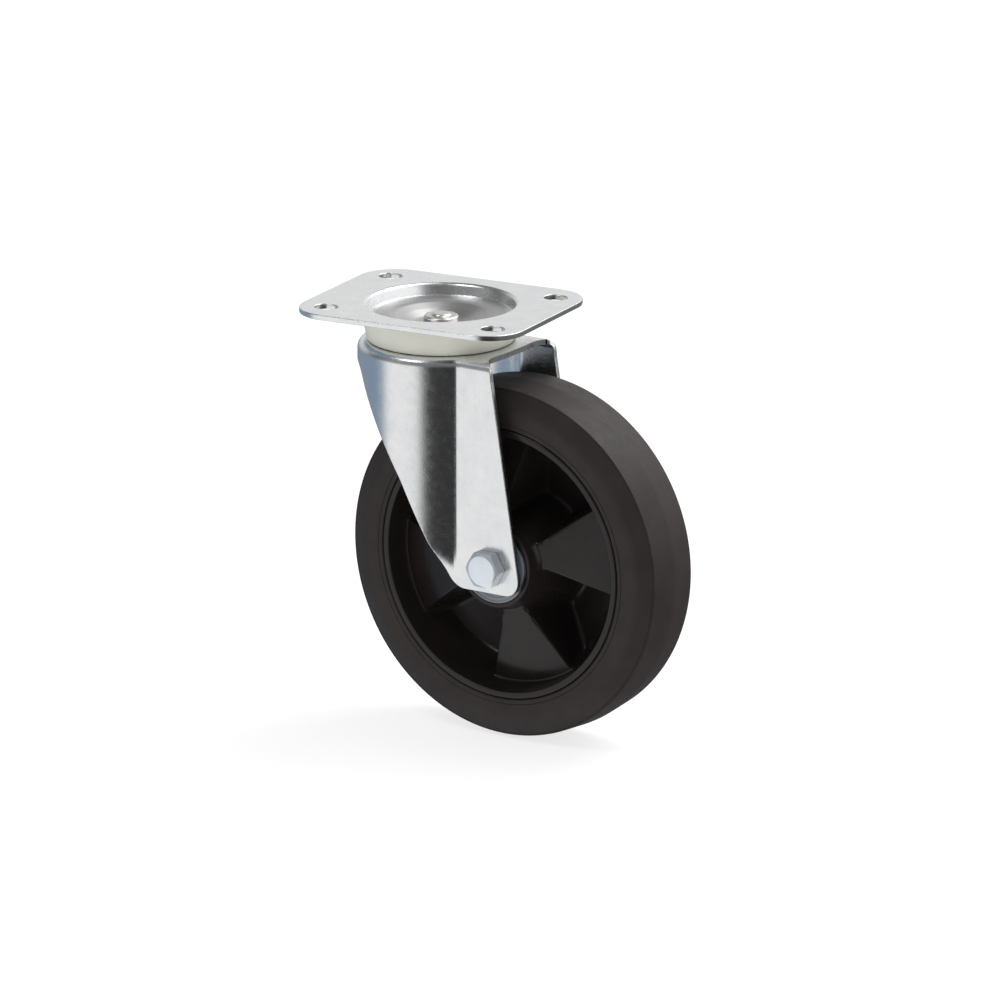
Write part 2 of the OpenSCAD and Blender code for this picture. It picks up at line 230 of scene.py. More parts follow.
def fill(loops, inner=()):
    """Triangles of the flat region inside the first loop and outside the others, as 2-D points."""
    flat, edges = [], []
    for loop in loops:
        start = len(flat)
        flat += [Vector(p) for p in loop]
        edges += [(start + i, start + (i + 1) % len(loop)) for i in range(len(loop))]
    flat += [Vector(p) for p in inner]
    points, _, faces, _, _, _ = delaunay_2d_cdt(flat, edges, [], 0, 1e-7)
    kept = []
    for face in faces:
        centre = sum((points[i] for i in face), Vector((0, 0))) / len(face)
        if inside(centre, loops[0]) and not any(inside(centre, h) for h in loops[1:]):
            kept.append(list(face))
    return [tuple(p) for p in points], kept


def flat_face(loops, z):
    """Points and faces of a flat face at one height, with every loop after the first as a hole."""
    flat, faces = fill(loops)
    return [(x, y, z) for x, y in flat], faces


def smooth_max(a, b, width):
    """The larger of two heights, with a fillet where they meet."""
    h = np.maximum(0, width - np.abs(a - b))
    return np.maximum(a, b) + h * h / (4 * width)


def smooth_min(a, b, width):
    """The smaller of two heights, with a fillet where they meet."""
    return -smooth_max(-a, -b, width)


# ---------- Materials ----------

# A Mix node's colour sockets go by number, because its other kinds share their names
MIX_A, MIX_B, MIX_RESULT = 6, 7, 2


def colour_ramp(tree, value, stops, interpolation="LINEAR"):
    """A colour ramp with stops of (position, colour or grey)."""
    n = tree.nodes.new("ShaderNodeValToRGB")
    n.color_ramp.interpolation = interpolation
    while len(n.color_ramp.elements) < len(stops):
        n.color_ramp.elements.new(0.5)
    for e, (at, c) in zip(n.color_ramp.elements, stops):
        e.position = at
        e.color = (*c, 1) if hasattr(c, "__len__") else (c, c, c, 1)
    tree.links.new(value, n.inputs["Fac"])
    return n.outputs["Color"]


class Shader:
    """A small node tree around one Principled shader."""

    def __init__(self, name):
        self.name = name
        self.material = bpy.data.materials.new(name)
        self.material.use_nodes = True
        self.tree = self.material.node_tree
        self.tree.nodes.clear()
        output = self.node("ShaderNodeOutputMaterial")
        self.main = self.node("ShaderNodeBsdfPrincipled")
        self.link(self.main.outputs["BSDF"], output.inputs["Surface"])
        self.place = self.node("ShaderNodeTexCoord").outputs["Object"]

    def node(self, kind, **values):
        n = self.tree.nodes.new(kind)
        for key, value in values.items():
            setattr(n, key, value)
        return n

    def link(self, a, b):
        self.tree.links.new(a, b)

    def set(self, **values):
        """Sets sockets of the shader itself, with underscores for the spaces in their names."""
        for key, value in values.items():
            self.main.inputs[key.replace("_", " ")].default_value = value
        return self

    def noise(self, scale, detail):
        """A noise value over the piece. scale is in cycles per metre."""
        n = self.node("ShaderNodeTexNoise")
        n.inputs["Scale"].default_value = scale
        n.inputs["Detail"].default_value = detail
        self.link(self.place, n.inputs["Vector"])
        return n.outputs["Fac"]

    def patchy(self, socket, low, high, scale, detail):
        """Feeds a socket with patches between two colours or values."""
        patches = colour_ramp(self.tree, self.noise(scale, detail), [(0.3, low), (0.7, high)])
        self.link(patches, self.main.inputs[socket])

    def disc(self, radius):
        """1 inside a disc of that radius in metres round the plate's Z axis, 0 outside it."""
        soft = 0.001
        flat = self.node("ShaderNodeVectorMath", operation="MULTIPLY")
        flat.inputs[1].default_value = (1, 1, 0)
        self.link(self.place, flat.inputs[0])
        length = self.node("ShaderNodeVectorMath", operation="LENGTH")
        self.link(flat.outputs["Vector"], length.inputs[0])
        stops = [(radius - soft, 1.0), (radius + soft, 0.0)]
        return colour_ramp(self.tree, length.outputs["Value"], stops)

    def blend_to(self, socket, mask, value):
        """Blends what feeds a socket towards a constant colour, by the mask."""
        mix = self.node("ShaderNodeMix", data_type="RGBA")
        self.link(mask, mix.inputs["Factor"])
        self.link(self.main.inputs[socket].links[0].from_socket, mix.inputs[MIX_A])
        mix.inputs[MIX_B].default_value = (*value, 1)
        self.link(mix.outputs[MIX_RESULT], self.main.inputs[socket])

    def bump(self, value, depth):
        """Adds a relief of that depth in metres over the earlier ones."""
        n = self.node("ShaderNodeBump")
        n.inputs["Distance"].default_value = depth
        n.inputs["Strength"].default_value = 1.0
        self.link(value, n.inputs["Height"])
        if self.main.inputs["Normal"].is_linked:
            self.link(self.main.inputs["Normal"].links[0].from_socket, n.inputs["Normal"])
        self.link(n.outputs["Normal"], self.main.inputs["Normal"])


def metal(name, dark, light, roughness, grain, depth, wave=1e-4, metallic=1.0):
    """Plated or ground steel: slightly patchy colour and gloss, a fine grain, and a slow wave in sheets."""
    gloss_spread = 0.035
    s = Shader(name).set(Metallic=metallic)
    s.patchy("Base Color", dark, light, scale=70, detail=4)
    s.patchy("Roughness", roughness - gloss_spread, roughness + gloss_spread, scale=260, detail=4)
    if wave:
        s.bump(s.noise(scale=50, detail=2), wave)
    s.bump(s.noise(grain, detail=3), depth)
    return s


def dull_and_shaded_dish(s, radius, colour, roughness):
    """The zinc sheet's rougher surface where the dish was drawn, with painted shade: a darker colour over the
    dish's floor inside the recess.
    """
    mask = s.disc(radius)
    s.blend_to("Base Color", mask, colour)
    s.blend_to("Roughness", mask, (roughness,) * 3)
    return s


def plastic(name, dark, light, roughness, grain, depth, specular=0.5):
    """A moulded plastic or rubber: nearly even colour with a fine surface texture."""
    gloss_spread = 0.04
    s = Shader(name).set(Specular_IOR_Level=specular)
    s.patchy("Base Color", dark, light, scale=60, detail=4)
    s.patchy("Roughness", roughness - gloss_spread, roughness + gloss_spread, scale=220, detail=3)
    s.bump(s.noise(grain, detail=2), depth)
    return s


# Each material: darker and lighter colour, roughness, grain in cycles per metre and its depth in metres
zinc = ((0.78, 0.80, 0.82), (0.86, 0.86, 0.85), 0.25, 800, 2e-5)
shaders = [
    metal("zinc_sheet", *zinc),
    metal("zinc_bolt", (0.72, 0.79, 0.86), (0.82, 0.86, 0.90), 0.22, 1400, 1e-5, wave=0, metallic=0.6),
    metal("pin_steel", (0.64, 0.63, 0.61), (0.74, 0.73, 0.70), 0.34, 1500, 5e-6, wave=0),
    # bearing_steel is darkened well below bare steel: painted shade standing for the dark inside of the hub behind
    # the seals.
    metal("bearing_steel", (0.22, 0.23, 0.25), (0.27, 0.28, 0.30), 0.32, 2000, 4e-6, wave=0),
    plastic("dust_plastic", (0.80, 0.80, 0.70), (0.87, 0.87, 0.77), 0.38, 600, 1e-5),
    plastic("lock_nylon", (0.05, 0.12, 0.34), (0.07, 0.15, 0.38), 0.4, 600, 1e-5),
    plastic("wheel_nylon", (0.015, 0.012, 0.011), (0.020, 0.016, 0.015), 0.21, 700, 1e-5, specular=0.3),
    plastic("tyre_rubber", (0.026, 0.0200, 0.0185), (0.034, 0.0265, 0.0245), 0.52, 900, 4e-5, specular=0.3),
    plastic("seal_rubber", (0.21, 0.24, 0.28), (0.26, 0.29, 0.33), 0.42, 900, 1e-5),
    plastic("cage_plastic", (0.16, 0.10, 0.04), (0.20, 0.13, 0.06), 0.45, 900, 1e-5),
]
# The dish's darker colour is painted shade for its recess; only its higher roughness is the zinc's own.
plate_zinc = dull_and_shaded_dish(metal("plate_zinc", *zinc), radius=0.0382, colour=(0.46, 0.455, 0.46), roughness=0.42)
materials = {shader.name: shader.material for shader in shaders}

for row in frame["record"]["subparts"]:
    node = frame["nodes"][row["node"]]
    node.data.materials.clear()
    node.data.materials.append(materials[row["material_slot"]])


# ---------- Top plate with its dish, and the kingpin ----------

lo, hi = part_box("top_plate")
plate_half = Vector(((hi.x - lo.x) / 2, (hi.y - lo.y) / 2)) / MM
plate_t = 3.0
plate_corner = 22.0
plate_edge = 0.45
bolts = next(m for m in frame["record"]["mounts"] if m["name"] == "plate_bolts")["dims"]
slot_r = bolts["hole_r_mm"]
slot_reach = bolts["slot_length_mm"] / 2 - slot_r
dish_join = 45.0
dish_points = 192
pin_bore = 8.2


def rectangle_loop(inset):
    """The plate's outline, moved inward."""
    hx, hy = plate_half.x - inset, plate_half.y - inset
    corners = [(hx, -hy), (hx, hy), (-hx, hy), (-hx, -hy)]
    return rounded(corners, plate_corner - inset, 10)


def slot_loop(cx, cy, grow):
    """A bolt slot's outline, moved outward."""
    steps = 12
    r = slot_r + grow
    right_end = arc((cx + slot_reach, cy), r, -90, 90, steps)
    left_end = arc((cx - slot_reach, cy), r, 90, 270, steps)
    return right_end + left_end


def edge_steps(edge, low, high):
    """(inset, height) steps of a rounded edge, from the upper face to the lower one."""
    turn = [math.radians(a) for a in (90, 60, 30, 0)]
    top = [(edge * (1 - math.cos(a)), high - edge * (1 - math.sin(a))) for a in turn]
    return top + [(i, low + high - z) for i, z in reversed(top)]


def dish_profile():
    """The dish's section, from the plate's upper face in to the kingpin and back out along the underside."""
    upper = [(dish_join, 0, 0), (41.4, 0, 3), (39.3, -6.35, 0.4), (38.3, -6.35, 0.2), (38.0, -5.95, 0.3),
             (28.5, -5.95, 2), (25.6, -6.4, 6), (20.5, -8.6, 14), (15.0, -11.4, 12), (11.0, -12.6, 3),
             (pin_bore, -12.6, 0)]
    lower = [(pin_bore, -15.6, 0.3), (12.0, -15.6, 3), (16.4, -14.2, 12), (26.8, -9.2, 6), (38.9, -9, 2.4),
             (43.8, -plate_t, 1.5), (dish_join, -plate_t, 0)]
    return section(upper + lower, 8)


def plate_mesh():
    half_x, half_y = bolts["spacing_x_mm"] / 2, bolts["spacing_y_mm"] / 2
    centres = [(sx * half_x, sy * half_y) for sx in (1, -1) for sy in (1, -1)]
    walls = [rectangle_loop] + [lambda inset, c=c: slot_loop(*c, inset) for c in centres]
    steps = edge_steps(plate_edge, -plate_t, 0.0)
    parts = [stack([[(x, y, z) for x, y in wall(inset)] for inset, z in steps]) for wall in walls]
    loops = [wall(plate_edge) for wall in walls] + [circle_loop(dish_join, dish_points)]
    parts += [flat_face(loops, z) for z in (0.0, -plate_t)]
    parts.append(lathe(dish_profile(), dish_points, closed=False))
    return joined(*parts)


plate = add_piece("pressed_plate", *plate_mesh(), PLATE, "plate", "zinc_sheet", ["top_plate"], sharp=50,
                  material=plate_zinc.material)
weigh_normals(plate)

pin_profile = rounded([
    (0, -6.02), (4.3, -6.02), (4.85, -6.2), (5.15, -6.65), (5.75, -7.1), (6.3, -7.15), (8.1, -7.0), (8.9, -7.2),
    (9.45, -7.75), (9.6, -8.5), (9.6, -12.58), (8.0, -12.62), (8.0, -33.2), (12.0, -33.25), (12.0, -34.6),
    (11.2, -36.2), (8.6, -37.2), (0, -37.25)], 0.35, 3, closed=False)
add_piece("riveted_kingpin", *lathe(pin_profile, 96, closed=False),
          PLATE, "plate", "pin_steel", ["kingpin"], sharp=50)

ring_profile = rounded([(43.8, -4.5), (42.4, -12), (41.0, -19.2), (40.6, -19.7), (39.2, -19.7), (39.8, -8.7),
                        (40.6, -8.1), (43.2, -4.5)], 0.5, 3)
add_piece("dust_skirt", *lathe(ring_profile, 160), PLATE, "plate", "dust_plastic", ["dust_ring"])


# ---------- Fork: one folded sheet ----------

sheet_t = 3.0
free_edge = 0.5
roll_r = 5.0
roll_z = -25.0
crown_z = -20.0
crown_r = 46.0
front_z = -30.9
leg_y = 33.0
leg_foot_z = -150.0
# The front's roundness dies out over this height above the legs' feet, and ahead of this X it stays
bulge_fade = 27.0
bulge_front_x = -20.0
# Each fold is softened over this run to either side, past this run length from the front
fold_soft = 2.6
fold_from_s = 60.0
# Run behind the fold in which the inner face's shorter way round evens out
fold_even = 14.0
deck_rear_x = 48.0
deck_corner_x = 50.0
deck_rear_r = 260.0
deck_flare_y = 18.0
bead_r = 38.2
bead_points = 160
crease_x = math.sqrt(crown_r ** 2 - leg_y ** 2)
crease_s = crown_r * math.acos(-crease_x / crown_r)
deck_t = roll_z + roll_r * math.pi / 2
# The fork seen from its side: corners of (X, Z, rounding)
fork_corners = [(-51, 0, 0), (-51, -30.5, 0), (-31, -32, 12), (3.5, -90, 60), (30.5, -149.6, 11),
                (74, -149.6, 9), (53.4, -22.2, 4), (46.5, -20.2, 0), (46.5, 0, 0)]


def plan_point(s, depth):
    """The outer wall's plan at run length s from its front, moved inward by depth."""
    side = -1 if s < 0 else 1
    s = abs(s)
    r, y = crown_r - depth, leg_y - depth
    x_fold = math.sqrt(r * r - y * y)
    if s < crease_s:
        a = s / crease_s * math.acos(-x_fold / r)
        return -r * math.cos(a), side * -r * math.sin(a)
    run = s - crease_s
    return crease_x + run - (crease_x - x_fold) * max(0, 1 - run / fold_even), side * -y


def sheet_point(s, t, depth):
    """A point of the folded sheet. s runs round the wall, t up it and over the roll, depth into the steel."""
    angle = max(0, (t - roll_z) / roll_r)
    inward = roll_r - (roll_r - depth) * math.cos(angle)
    z = t if angle == 0 else roll_z + (roll_r - depth) * math.sin(angle)
    shifts = [fold_soft * k / 3 for k in range(-3, 4)] if abs(s) > fold_from_s else [0]
    samples = [plan_point(s + shift, inward) for shift in shifts]
    x = sum(p[0] for p in samples) / len(samples)
    y = sum(p[1] for p in samples) / len(samples)
    fade = min(1, max(0, (z - leg_foot_z) / bulge_fade))
    bulge = fade * fade * (3 - 2 * fade)
    flat = leg_y - inward
    if x > bulge_front_x and abs(y) > flat:
        y = math.copysign(flat + (abs(y) - flat) * bulge, y)
    return x, y, z


def run_length(x):
    """Run length from the front to the place on the outer wall at that X."""
    if x < crease_x:
        return crown_r * math.acos(max(-1, -x / crown_r)) if x > -crown_r else 0
    return crease_s + x - crease_x


def wall_region():
    """The sheet's outline as run length and height, one half from the front to the deck's rear corner."""
    corner_x, corner_z = 40.0, -28.0
    outline = resample(section(fork_corners, 10, closed=True), 1.5)
    from_front = [abs(x + crown_r) + abs(z - front_z) for x, z in outline]
    start = from_front.index(min(from_front))
    half = []
    for x, z in outline[start:] + outline[:start]:
        if z > corner_z and x > corner_x:
            break
        if x > -crown_r + 0.05:
            half.append((run_length(x), z))
    return half


def swept_tail(start, end):
    """Sweeps the leg's rear corner round into the deck's rear edge, without the two ends."""
    turn = (start[0] - 0.6, end[1] - 2.0)
    steps = 9
    out = []
    for i in range(1, steps):
        f = i / steps
        shares = ((1 - f) ** 2, 2 * f * (1 - f), f * f)
        out.append(tuple(sum(share * p[k] for share, p in zip(shares, (start, turn, end))) for k in (0, 1)))
    return out


def inset_polygon(points, distance):
    """A closed polyline moved inward, which is to its left."""
    tiny = 1e-9
    n = len(points)
    out = []
    for i in range(n):
        a, b, c = (np.array(points[(i + k) % n]) for k in (-1, 0, 1))
        u = (b - a) / (np.linalg.norm(b - a) + tiny)
        v = (c - b) / (np.linalg.norm(c - b) + tiny)
        normal = np.array([-(u + v)[1], (u + v)[0]])
        normal /= np.linalg.norm(normal) + tiny
        out.append(tuple(b + normal * distance))
    return out


def wall_grid(rim):
    """Points inside the wall's outline, closer together up the roll and at the folds."""
    clear = 0.9
    rows = [deck_t - k for k in (0.8, 2.0, 3.3, 4.6, 5.9, 7.0, 7.85)]
    rows += list(np.arange(roll_z - 1.5, -149, -2.5))
    fold = [crease_s + k for k in range(-3, 4)]
    columns = list(np.arange(-190, 190.1, 2.0)) + fold + [-s for s in fold]
    rim_array = np.array(rim)
    grid = []
    for t in rows:
        for s in sorted(set(np.round(columns, 3))):
            if inside((s, t), rim) and np.min(np.abs(rim_array - (s, t)).max(1)) > clear:
                grid.append((s, t))
    return grid


def rounded_edge(free, moved):
    """The sheet's free edge, rounded from the outer face to the inner one."""
    # Share of the way to the inset edge, and depth into the sheet
    outer_half = [(1.0, 0.0), (0.5, 0.07), (0.13, 0.27), (0.0, 0.5)]
    inner_half = [(share, sheet_t - depth) for share, depth in reversed(outer_half)]
    rows = []
    for share, depth in outer_half + [(0.0, sheet_t / 2)] + inner_half:
        rows.append([sheet_point(a[0] + (b[0] - a[0]) * share, a[1] + (b[1] - a[1]) * share, depth)
                     for a, b in zip(free, moved)])
    return strip(rows)


def deck_rear(first, last):
    """The deck's rear edge between its two corners: a shallow arc that flares out to the legs."""
    steps = 48
    flare_power = 2.4
    out = []
    for i in range(1, steps):
        y = first[1] + (last[1] - first[1]) * i / steps
        sag = deck_rear_r - math.sqrt(deck_rear_r ** 2 - y * y)
        flare = max(0, (abs(y) - deck_flare_y) / (abs(first[1]) - deck_flare_y)) ** flare_power
        middle_x = deck_rear_x - sag
        out.append((middle_x + (first[0] - middle_x) * flare, y))
    return out


def bead_profile():
    """The pressed bead that carries the upper balls, and the bore for the kingpin."""
    under_z = crown_z - sheet_t
    bore_r = 10.6
    race = arc((33, -13.05), 4.05, -40, -140, 10)
    upper = [(bead_r, crown_z), (37.4, -15.7)] + race + [(28.2, -15.6), (26, crown_z), (bore_r, crown_z)]
    lower = [(bore_r, under_z), (26.5, under_z), (30, -20.2), (35, -20.2), (37, under_z), (bead_r, under_z)]
    return upper + lower


def fork_mesh():
    half = wall_region()
    corner_s = run_length(deck_corner_x)
    right = half + swept_tail(half[-1], (corner_s, deck_t))
    free = [(-s, t) for s, t in reversed(right)] + [(0.0, half[0][1])] + right
    deck_s = sorted({round(corner_s * i / 110, 4) for i in range(-110, 111)}, reverse=True)
    deck_edge = [(s, deck_t) for s in deck_s]
    # Only the free edge is inset. The deck's edge stays where the deck starts
    moved = inset_polygon(free + deck_edge, free_edge)[:len(free)]
    rim = moved + deck_edge
    flat, faces = fill([rim], wall_grid(rim))
    outer = [sheet_point(s, t, 0.0) for s, t in flat]
    inner = [sheet_point(s, t, sheet_t) for s, t in flat]
    parts = [(outer, faces), (inner, [f[::-1] for f in faces]), rounded_edge(free, moved)]
    # Deck: flat between the wall's roll, the rear edge and the bead's outer circle
    rolled = [sheet_point(s, deck_t, 0.0)[:2] for s in deck_s]
    rear = deck_rear(rolled[-1], rolled[0])
    levels = (crown_z, crown_z - sheet_t)
    parts += [flat_face([rolled + rear, circle_loop(bead_r, bead_points)], z) for z in levels]
    back = [rolled[-1]] + rear + [rolled[0]]
    parts.append(strip([[(x, y, z) for x, y in back] for z in levels]))
    parts.append(lathe(bead_profile(), bead_points, closed=False))
    return joined(*parts)


fork = add_piece("folded_fork", *fork_mesh(), FORK, "fork", "zinc_sheet", ["fork"], sharp=50)
weigh_normals(fork)


# ---------- Axle bolt and nut ----------

leg_out = 33.0
hex_across = 19.0
bolt_r = 6.0
bolt_head_h = 7.5
bolt_tail = 2.5
bolt_chamfer = 0.9
washer_t = 2.5
nut_h = 10.0
nut_hex_h = 6.8
nut_bore = 6.05
collar_in, collar_out = 7.0, 8.6


def hexagon(low, high, bore, chamfer_low):
    """A hexagon head or nut along Z, with its corners turned off at 30 degrees."""
    per_side = 16
    count = 6 * per_side
    flat_r = hex_across / 2
    corner_r = flat_r / math.cos(math.pi / 6) - 0.12
    face_r = flat_r - 1.1
    face_round, face_drop = 0.35, 0.06
    seat_step = 0.25
    slope = math.tan(math.radians(30))

    def wall(height):
        """A row round the hexagon. height gives each point's height from its radius."""
        row = []
        for i in range(count):
            off_flat = (i / per_side % 1 - 0.5) * math.pi / 3
            r = min(flat_r / math.cos(off_flat), corner_r)
            row.append((r * math.cos(TURN * i / count), r * math.sin(TURN * i / count), height(r)))
        return row

    def ring(r, z):
        return [(x, y, z) for x, y in circle_loop(r, count)]

    def middle(z):
        return ring(bore, z) if bore else [(0, 0, z)]

    rows = [
        middle(high),
        ring(face_r - face_round, high),
        ring(face_r, high - face_drop),
        wall(lambda r: high - face_drop - max(0, r - face_r) * slope),
        wall(lambda r: low + (max(0, r - face_r) * slope if chamfer_low else seat_step)),
        ring(face_r, low),
        middle(low),
    ]
    return stack(rows, closed=bool(bore))


shank_top = leg_out + 0.5
tail_z = -leg_out - washer_t - nut_h - bolt_tail
shank_profile = rounded([(0, shank_top), (bolt_r, shank_top), (bolt_r, tail_z + bolt_chamfer),
                         (bolt_r - bolt_chamfer, tail_z), (0, tail_z)], 0.2, 2, closed=False)
bolt_mesh = joined(hexagon(leg_out, leg_out + bolt_head_h, 0, False), lathe(shank_profile, 64, closed=False))
add_piece("hex_bolt", *bolt_mesh, WHEEL, "fork", "zinc_bolt", ["axle_bolt"], sharp=25)

nut_face = -leg_out - washer_t
collar_z = nut_face - 6.2
collar_profile = rounded([(collar_in, nut_face - nut_h), (collar_out, nut_face - nut_h + 0.1),
                          (collar_out, collar_z), (collar_in, collar_z)], 0.7, 4)
nut_mesh = joined(hexagon(nut_face - nut_hex_h, nut_face, nut_bore, True), lathe(collar_profile, 96))
add_piece("lock_nut", *nut_mesh, WHEEL, "fork", "zinc_bolt", ["axle_nut"], sharp=25)


# ---------- Wheel ----------

# Places on the wheel are (radius, height over its middle plane).
hub_face_z = 28.0
seat_r = 21.0
shoulder_z = 16.0
bore_r = 17.2
hub_foot_r = 26.4
hub_slope = 4.28
web_in = (26.0, 20.0)
web_out = (70.5, 9.5)
floor_in = (34.0, -12.5)
floor_out = (65.0, -4.5)
hoop_slope = 2.745
lip_r = 72.8
lip_z = 23.0
web_wall = 5.0
draft = math.tan(math.radians(9))
pivot_z = 14.0
# The web repeats four times. Each recess has one edge along a radius and one past the axle by an offset
sector_deg = 90
radial_edge = 33.7
slant_edge = 75.8
slant_offset = 6.3
# Points of a row: their distances from a recess's edge, and how many fill the recess and the raised part
inside_steps = [0, 0.25, 0.6, 1.0, 1.45, 1.9, 2.35, 2.8, 3.3, 3.9, 4.6, 5.5, 6.6, 8.0]
outside_steps = [2.4, 1.2, 0.6, 0.3]
inside_share = 0.42
outside_share = 0.3
pocket_fill = 10
raised_fill = 18
around = 4 * (2 * (len(inside_steps) + len(outside_steps)) + pocket_fill + raised_fill)
web_rows = [26.4, 26.8, 27.3, 28, 29, 30.2, 31.4, 32.6, 33.8, 35.2, 37, 39.5, 42.5, 46, 49.5, 53, 56.5, 59.5,
            62, 63.8, 65, 66, 67, 68, 68.8, 69.4, 69.9, 70.3, 70.6, 70.9, 71.2, 71.6, 72.0, 72.4]
# From this radius on, a row's points even out towards the lip's
even_from, even_over = 70.9, 1.6
phase_r = 40.0


def edge_angles(r, rear):
    """Polar angles of a recess's two edges at radius r."""
    if rear:
        first = math.degrees(math.asin(min(1, (slant_offset + web_wall) / r))) + slant_edge - sector_deg
        return first, radial_edge - math.degrees(math.asin(web_wall / r))
    return radial_edge, slant_edge + math.degrees(math.asin(slant_offset / r))


def row_angles(r, rear):
    """Angles of one row's points, close together at the recesses' edges."""
    first, last = edge_angles(r, rear)
    per_mm = math.degrees(1 / r)
    gap = last - first
    room = sector_deg - gap
    inner = min(1, inside_share * gap / (inside_steps[-1] * per_mm)) * per_mm
    outer = min(1, outside_share * room / (outside_steps[0] * per_mm)) * per_mm
    sector = [first - k * outer for k in outside_steps] + [first + k * inner for k in inside_steps]
    sector += spread(sector[-1], last - inside_steps[-1] * inner, pocket_fill)
    sector += [last - k * inner for k in reversed(inside_steps)]
    sector += [last + k * outer for k in reversed(outside_steps)]
    sector += spread(sector[-1], sector[0] + sector_deg, raised_fill)
    return np.array([a + sector_deg * k for k in range(4) for a in sector])


def slope_between(r, start, end):
    """Height at radius r on the straight way between two places, level beyond them."""
    return np.interp(r, (start[0], end[0]), (start[1], end[1]))


def web_height(r, angles, rear):
    """Height of the web's face over the middle plane, recesses included."""
    raised = slope_between(r, web_in, web_out)
    floor = slope_between(r, floor_in, floor_out)
    hub_wall = web_in[1] - (r - hub_foot_r) * hub_slope
    hoop_wall = floor_out[1] + (r - floor_out[0]) * hoop_slope
    cone = web_out[1] + (r - web_out[0]) * (lip_z - web_out[1]) / (lip_r - web_out[0])
    # Distance into the recess from each edge's line
    first_edge, last_edge = edge_angles(r, rear)
    room = sector_deg - (last_edge - first_edge)
    local = (angles - first_edge + 2 * sector_deg) % sector_deg
    local = np.where(local > sector_deg - room / 2, local - sector_deg, local)
    if rear:
        to_slant = np.radians(local + first_edge - slant_edge + sector_deg)
        first = r * np.sin(to_slant) - slant_offset - web_wall
        second = -r * np.sin(np.radians(local + first_edge - radial_edge)) - web_wall
    else:
        first = r * np.sin(np.radians(local))
        second = slant_offset - r * np.sin(np.radians(local + first_edge - slant_edge))
    # The recess's walls, each with the width of its fillet
    recess = smooth_max(pivot_z - first / draft, pivot_z - second / draft, 10)
    for wall, fillet in ((floor, 20), (hub_wall, 16), (hoop_wall, 12)):
        recess = smooth_max(recess, wall, fillet)
    return smooth_max(smooth_min(recess, raised, 4), cone, 7)


def wheel_side(rear):
    """Rows of points from the hub's bearing seat out to the tyre's seat on one side, and their phase."""
    sign = -1 if rear else 1
    even = np.arange(around) * 360 / around
    phase = float(np.mean(row_angles(phase_r, rear) - even))
    rows = []

    def add_row(r, angles, heights, evened):
        """Adds a row at radius r. evened is how far its angles go over to even ones."""
        turned = np.radians(angles * (1 - evened) + (even + phase) * evened)
        rows.append([(r * math.cos(t), r * math.sin(t), sign * float(h)) for t, h in zip(turned, heights)])

    foot_angles = row_angles(hub_foot_r, rear)
    hub = section([(seat_r, 12, 0), (seat_r, hub_face_z, 0.5), (23.6, hub_face_z, 0.5), (24.5, 24, 4),
                   (26.1, 20.2, 0)], 3)
    for r, z in hub[1:]:
        add_row(r, foot_angles, [z] * around, 0.5)
    for r in web_rows:
        angles = row_angles(r, rear)
        add_row(r, angles, web_height(r, angles, rear), min(1, max(0, (r - even_from) / even_over)))
    lip = section([(72.5, 21.4, 0), (lip_r, lip_z, 0.5), (76.4, lip_z, 0.7), (76.5, 19, 0.5), (74.5, 17.5, 0.5),
                   (74.5, 0, 0)], 3)
    for r, z in lip[:-1]:
        add_row(r, foot_angles, [z] * around, 1)
    return rows, phase


def rim_mesh():
    front, front_phase = wheel_side(False)
    rear, rear_phase = wheel_side(True)
    # The rear rows start where the front ones do, so the two sides meet without a twist
    shift = round((rear_phase - front_phase) / (360 / around))
    rear = [row[-shift:] + row[:-shift] for row in rear]

    def bored(row, r, z):
        return [(x * r / math.hypot(x, y), y * r / math.hypot(x, y), z) for x, y, _ in row]

    front_bore = [bored(front[0], bore_r, shoulder_z), bored(front[0], seat_r, shoulder_z)]
    rear_bore = [bored(rear[0], seat_r, -shoulder_z), bored(rear[0], bore_r, -shoulder_z)]
    return stack(front_bore + front + rear[::-1] + rear_bore, closed=True)


add_piece("moulded_rim", *rim_mesh(), WHEEL, "wheel", "wheel_nylon", ["wheel_rim"], sharp=60)

# The tyre's section: bead groove, side wall, shoulder and its groove, and a tread of two cones
tyre_half = [(74.55, 17.4, 0.5), (76.45, 19.1, 0.5), (76.9, 22.9, 0.9), (79.3, 22.95, 0.1), (79.6, 22.6, 0.1),
             (79.9, 22.95, 0.1), (88.4, 23.0, 14), (97.0, 18.95, 0.1), (97.3, 18.5, 0.1), (97.65, 18.65, 0.1),
             (98.4, 18.2, 0.3), (99.8, 0.5, 0.5)]
tyre_other_half = [(r, -z, rounding) for r, z, rounding in reversed(tyre_half)]
tyre_profile = section(tyre_half + tyre_other_half, 5, closed=True)
add_piece("rubber_tyre", *lathe(tyre_profile, 288), WHEEL, "wheel", "tyre_rubber", ["tyre"], sharp=50)

seal_z = hub_face_z - 0.3
bearing_middle_z = hub_face_z - 6


def seal_profile():
    """An outer seal's section with its stiffening step and its lip."""
    step_z, back_z = seal_z - 0.25, seal_z - 0.75
    return rounded([(20.1, seal_z), (18.2, seal_z), (17.7, step_z), (15.0, step_z), (14.5, seal_z),
                    (13.75, seal_z), (13.75, back_z), (20.1, back_z)], 0.12, 2)


for side, sign in (("front", 1), ("rear", -1)):
    for place in ("outer", "inner"):
        profile = seal_profile()
        if place == "inner":
            profile = [(r, 2 * bearing_middle_z - z) for r, z in profile]
        profile = [(r, sign * z) for r, z in profile]
        add_piece(f"{side}_{place}_lip_seal", *lathe(profile, 128), WHEEL, "wheel", "seal_rubber",
                  [f"{side}_{place}_seal"])


# ---------- Floor, light and camera ----------

